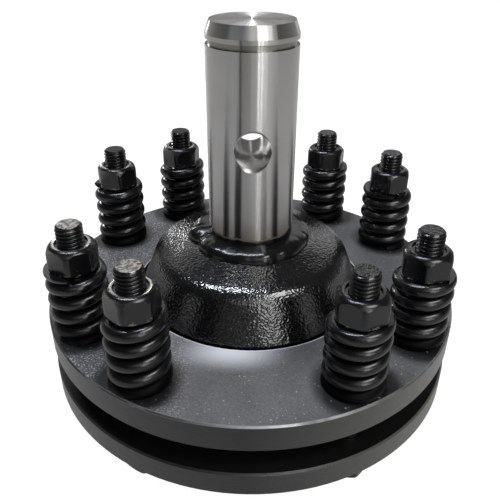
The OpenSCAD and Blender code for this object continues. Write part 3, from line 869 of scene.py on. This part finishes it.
# %% Bolts: the thread
# Shares of a pitch, from the middle of the root, between which the flank rises
FLANK_LOW, FLANK_HIGH = 0.07, 0.42
tree, size = new_tree("bolts with threads", {
    "Blank": "Object", "Major radius": "Float", "Root radius": "Float", "Pitch": "Float", "Start": "Float",
    "End": "Float", "Columns": "Int", "Rows per turn": "Int", "Material": "Material"})
reach = add(tree, MATH, {0: size["End"], 1: size["Start"]}, operation="SUBTRACT")
turns = add(tree, MATH, {0: reach, 1: size["Pitch"]}, operation="DIVIDE")
turns = add(tree, MATH, {0: turns, 1: 1.0}, operation="ADD")
rows = add(tree, MATH, {0: turns, 1: size["Rows per turn"], 2: 1.0}, operation="MULTIPLY_ADD")
rim_points = add(tree, MATH, {0: size["Columns"], 1: 1.0}, operation="ADD")
sheet = add(tree, "GeometryNodeMeshGrid", {"Size X": math.tau, "Size Y": turns, "Vertices X": rim_points,
                                           "Vertices Y": rows})
axes = add(tree, SPLIT, {0: add(tree, "GeometryNodeInputPosition")})
angle = add(tree, MATH, {0: axes.outputs[0], 1: math.pi}, operation="ADD")
row = add(tree, MATH, {0: turns, 1: 0.5, 2: axes.outputs[1]}, operation="MULTIPLY_ADD")
climb = add(tree, MATH, {0: angle, 1: 1 / math.tau, 2: row}, operation="MULTIPLY_ADD")
climb = add(tree, MATH, {0: climb, 1: 1.0}, operation="SUBTRACT")
height = add(tree, MATH, {0: climb, 1: size["Pitch"], 2: size["Start"]}, operation="MULTIPLY_ADD")
height = add(tree, MATH, {0: height, 1: size["Start"]}, operation="MAXIMUM")
height = add(tree, MATH, {0: height, 1: size["End"]}, operation="MINIMUM")
phase = add(tree, MATH, {0: row}, operation="FRACT")
flank = add(tree, MATH, {0: phase, 1: 0.5}, operation="PINGPONG")
radius = add(tree, RANGE, {"Value": flank, "From Min": FLANK_LOW, "From Max": FLANK_HIGH,
                           "To Min": size["Root radius"], "To Max": size["Major radius"]})
above = add(tree, MATH, {0: height, 1: size["Start"]}, operation="SUBTRACT")
below = add(tree, MATH, {0: size["End"], 1: height}, operation="SUBTRACT")
nearest = add(tree, MATH, {0: above, 1: below}, operation="MINIMUM")
cone = add(tree, MATH, {0: nearest, 1: size["Root radius"]}, operation="ADD")
radius = add(tree, MATH, {0: radius, 1: cone}, operation="MINIMUM")
cosine = add(tree, MATH, {0: angle}, operation="COSINE")
sine = add(tree, MATH, {0: angle}, operation="SINE")
across = add(tree, MATH, {0: cosine, 1: radius}, operation="MULTIPLY")
deep = add(tree, MATH, {0: sine, 1: radius}, operation="MULTIPLY")
point = add(tree, POINT, {0: across, 1: deep, 2: height})
rolled = add(tree, "GeometryNodeSetPosition", {"Geometry": sheet, "Position": point})
print("thread of", round((BOLT_END_Z - THREAD_Z) / PITCH, 1), "turns")

# %% Bolts: eight of them
THREAD_COLUMNS, THREAD_ROWS = 36, 8
JOIN_GAP = 0.004 * MM
TIP_Z = BOLT_END_Z - 0.02 * MM
cap = add(tree, "GeometryNodeMeshCircle", {"Vertices": size["Columns"], "Radius": size["Root radius"]},
          fill_type="NGON")
cap_place = add(tree, POINT, {2: size["End"]})
cap = add(tree, "GeometryNodeTransform", {"Geometry": cap, "Translation": cap_place})
thread = add(tree, "GeometryNodeJoinGeometry")
tree.links.new(rolled.outputs[0], thread.inputs[0])
tree.links.new(cap.outputs[0], thread.inputs[0])
thread = add(tree, "GeometryNodeMergeByDistance", {"Geometry": thread, "Distance": JOIN_GAP})
facing = add(tree, SPLIT, {0: add(tree, "GeometryNodeInputNormal")})
rounded = add(tree, MATH, {0: facing.outputs[2], 1: 0.95}, operation="LESS_THAN")
thread = add(tree, "GeometryNodeSetShadeSmooth", {0: thread, "Shade Smooth": rounded})
pattern = add(tree, "GeometryNodeObjectInfo", {"Object": size["Blank"]})
bolt = add(tree, "GeometryNodeJoinGeometry")
tree.links.new(thread.outputs[0], bolt.inputs[0])
tree.links.new(pattern.outputs["Geometry"], bolt.inputs[0])
spin = add(tree, "GeometryNodeInputNamedAttribute", {"Name": "turn"}, data_type="FLOAT")
spin = add(tree, POINT, {2: spin})
spin = add(tree, "FunctionNodeEulerToRotation", {0: spin})
row_of_bolts = add(tree, "GeometryNodeInstanceOnPoints", {"Points": size["Geometry"], "Instance": bolt,
                                                          "Rotation": spin})
close_tree(tree, row_of_bolts, size["Material"])

places = bpy.data.meshes.new("bolt places")
places.from_pydata([(*station, 0) for station in STATIONS], [], [])
# The heads may stand at any angle, so they take three times that of their nuts
bolt_turns = [math.radians(t * 3) for t in NUT_TURNS]
places.attributes.new("turn", "FLOAT", "POINT").data.foreach_set("value", bolt_turns)
bolts = grow(tree, "bolts", {
    "Blank": blank, "Major radius": BOLT_R, "Root radius": BOLT_ROOT_R, "Pitch": PITCH, "Start": THREAD_Z,
    "End": BOLT_END_Z, "Columns": THREAD_COLUMNS, "Rows per turn": THREAD_ROWS,
    "Material": hardware_enamel}, start=places)
bpy.data.objects.remove(blank)
# Only the tips at the front left are rubbed bare
store_wear_and_light(bolts.data, lambda p: p.x < 0 and p.y < 0 and p.z > TIP_Z)
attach(bolts, "hub_side")
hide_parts(*[f"bolt_{i}" for i in range(1, 9)])
print("bolts of", len(bolts.data.polygons) // 8, "faces each")

# %% [markdown]
# ### The weld
# One run of weld goes around the shaft. Each drop leaves a curved ripple, the run swells and shrinks a
# little, and where it started and stopped there is a blunt lump, on the left. The bead is a quarter ellipse
# whose size changes with the angle. Melted metal sets smoother than the forging's skin, so the bead takes
# the enamel of the fasteners.

# %% Weld bead
WELD_FOOT_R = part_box("shaft_weld")[1].x
WELD_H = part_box("shaft_weld")[1].z - CROWN_Z
# In degrees from +X: where the run stopped, and where it is a little fuller in front
WELD_STOP, WELD_DRIP = 188, 286
BEAD_FULLNESS = 0.8
WELD_RIPPLES = 46
BEAD_STEPS, BEAD_SECTIONS = 14, 288
BEAD_SUNK, BEAD_FOOT_SUNK = 0.3 * MM, 0.15 * MM
# Shares of the bead's size: slow and quick swelling, the stop's lump and the dip after it, the full place
SLOW_SWELL, QUICK_SWELL, STOP_LUMP, STOP_DIP, DRIP_LUMP = 0.10, 0.03, 0.22, 0.20, 0.10
RIPPLE_SHARE, LUMP_SHARE = 0.005, 0.04
TOP_SLOPE = 17.5
BELL_FALL = math.tan(math.radians(TOP_SLOPE))


def bead_outline(angle):
    """The bead's round at an angle, closed by a point on the shaft."""
    a = math.radians(angle)
    c, s = math.cos(a), math.sin(a)
    swell = 1 + SLOW_SWELL * noise.noise((2.0 * c, 2.0 * s, 1.7))
    swell += QUICK_SWELL * noise.noise((6 * c, 6 * s, 4.1))
    swell += (STOP_LUMP * hump(angle, WELD_STOP, 8) - STOP_DIP * hump(angle, WELD_STOP + 16, 7)
              + DRIP_LUMP * hump(angle, WELD_DRIP, 8))
    outline = [(SHAFT_R, CROWN_Z - BEAD_SUNK)]
    for k in range(BEAD_STEPS + 1):
        t = math.pi / 2 * k / BEAD_STEPS
        ripple = RIPPLE_SHARE * math.sin(WELD_RIPPLES * a + 1.8 * math.sin(2 * t)) * math.sin(2 * t)
        lump = LUMP_SHARE * noise.noise((5 * c, 5 * s, 2 * t))
        size = swell + ripple + lump * math.sin(2 * t)
        r = SHAFT_R + (WELD_FOOT_R - SHAFT_R) * size * math.cos(t) ** BEAD_FULLNESS
        z = CROWN_Z + WELD_H * size * math.sin(t) ** BEAD_FULLNESS - max(0.0, r - WELD_FOOT_R) * BELL_FALL
        outline.append((r, z - BEAD_FOOT_SUNK if k == 0 else z))
    return outline


bead_angles = [360 * i / BEAD_SECTIONS for i in range(BEAD_SECTIONS)]
bead_mesh = turned_mesh("weld_bead", bead_outline, bead_angles, ring=True)
new_piece("weld_bead", bead_mesh, hardware_enamel, "drive_side", "rough_black_paint", "shaft_weld")
print("bead of", len(bead_mesh.polygons), "faces")

# %% [markdown]
# ### The forged bell
# The bell is forged, so its outside is never quite round: broad dents and fine pits. Its outline is a
# leaning wall, a round shoulder and a sloping top, and noise moves every visible point a little along
# the surface's normal.

# %% Forged bell: the outline
FLANGE_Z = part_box("drive_bell")[0].z
FLANGE_TOP_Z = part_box("upper_friction_disc")[0].z
PACK_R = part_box("drive_bell")[1].x
NECK_R = 48 * MM
CAVITY_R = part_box("pilot_bush")[1].x
ROOF_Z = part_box("input_shaft")[0].z
CAVITY_ROUND, CAVITY_STEPS = 4 * MM, 6
SHOULDER_R, SHOULDER_STEPS = 8.5 * MM, 12
WALL_SLOPE = 22.5
WALL_LEAN = math.tan(math.radians(WALL_SLOPE))
SHOULDER_TURN = 90 - WALL_SLOPE - TOP_SLOPE
ROW = 0.8 * MM


def stretch(start, end, step):
    """Points from start towards end, about a step apart, without the end."""
    count = max(1, round(math.dist(start, end) / step))
    dr, dz = end[0] - start[0], end[1] - start[1]
    return [(start[0] + dr * k / count, start[1] + dz * k / count) for k in range(count)]


# The wall and the top meet in a corner, and the shoulder's round lies inside it
peak = CROWN_Z - PLATE_TOP_Z + WELD_FOOT_R * BELL_FALL
corner_r = (NECK_R - peak * WALL_LEAN) / (1 - BELL_FALL * WALL_LEAN)
corner_z = CROWN_Z - (corner_r - WELD_FOOT_R) * BELL_FALL
half_turn = math.radians(SHOULDER_TURN / 2)
middle = math.radians(90 - TOP_SLOPE) - half_turn
round_r = corner_r - SHOULDER_R / math.cos(half_turn) * math.cos(middle)
round_z = corner_z - SHOULDER_R / math.cos(half_turn) * math.sin(middle)
turned = [math.radians(WALL_SLOPE + SHOULDER_TURN * k / SHOULDER_STEPS) for k in range(SHOULDER_STEPS + 1)]
shoulder = [(round_r + SHOULDER_R * math.cos(t), round_z + SHOULDER_R * math.sin(t)) for t in turned]
outside = stretch((NECK_R, PLATE_TOP_Z), shoulder[0], ROW) + shoulder
outside += stretch(shoulder[-1], (WELD_FOOT_R, CROWN_Z), ROW)[1:]
hollow_r, hollow_z = CAVITY_R - CAVITY_ROUND, ROOF_Z - CAVITY_ROUND
turned = [math.radians(90 - 90 * k / CAVITY_STEPS) for k in range(CAVITY_STEPS + 1)]
inside = [(hollow_r + CAVITY_ROUND * math.cos(t), hollow_z + CAVITY_ROUND * math.sin(t)) for t in turned]
below = [(CAVITY_R, FLANGE_Z), (PACK_R, FLANGE_Z), (PACK_R, FLANGE_TOP_Z), (NECK_R, FLANGE_TOP_Z)]
print("bell's outline of", len(outside) + len(inside) + len(below), "points")

# %% Forged bell: the skin
DENT_SIZE, DENT_DEPTH = 8 * MM, 0.12 * MM
PIT_SIZE, PIT_DEPTH = 3 * MM, 0.03 * MM
UNDER_BEAD = 0.5 * MM


def bell_outline(angle):
    """The bell's outline at an angle, with its outside moved along the normal."""
    a = math.radians(angle)
    rough = []
    for k, (r, z) in enumerate(outside):
        before, after = outside[max(k - 1, 0)], outside[min(k + 1, len(outside) - 1)]
        along = Vector((after[0] - before[0], after[1] - before[1])).normalized()
        spot = Vector((r * math.cos(a), r * math.sin(a), z))
        lift = DENT_DEPTH * noise.noise(spot / DENT_SIZE) + PIT_DEPTH * noise.noise(spot / PIT_SIZE)
        rough.append((r + along.y * lift, z - along.x * lift))
    crown = [(WELD_FOOT_R - UNDER_BEAD, CROWN_Z), (SHAFT_R, CROWN_Z), (SHAFT_R, ROOF_Z)]
    return below + rough + crown + inside


bell_mesh = turned_mesh("forged_bell", bell_outline, list(range(360)), ring=True)
new_piece("forged_bell", bell_mesh, forged_enamel, "drive_side", "rough_black_paint", "drive_bell")
print("bell of", len(bell_mesh.polygons), "faces")
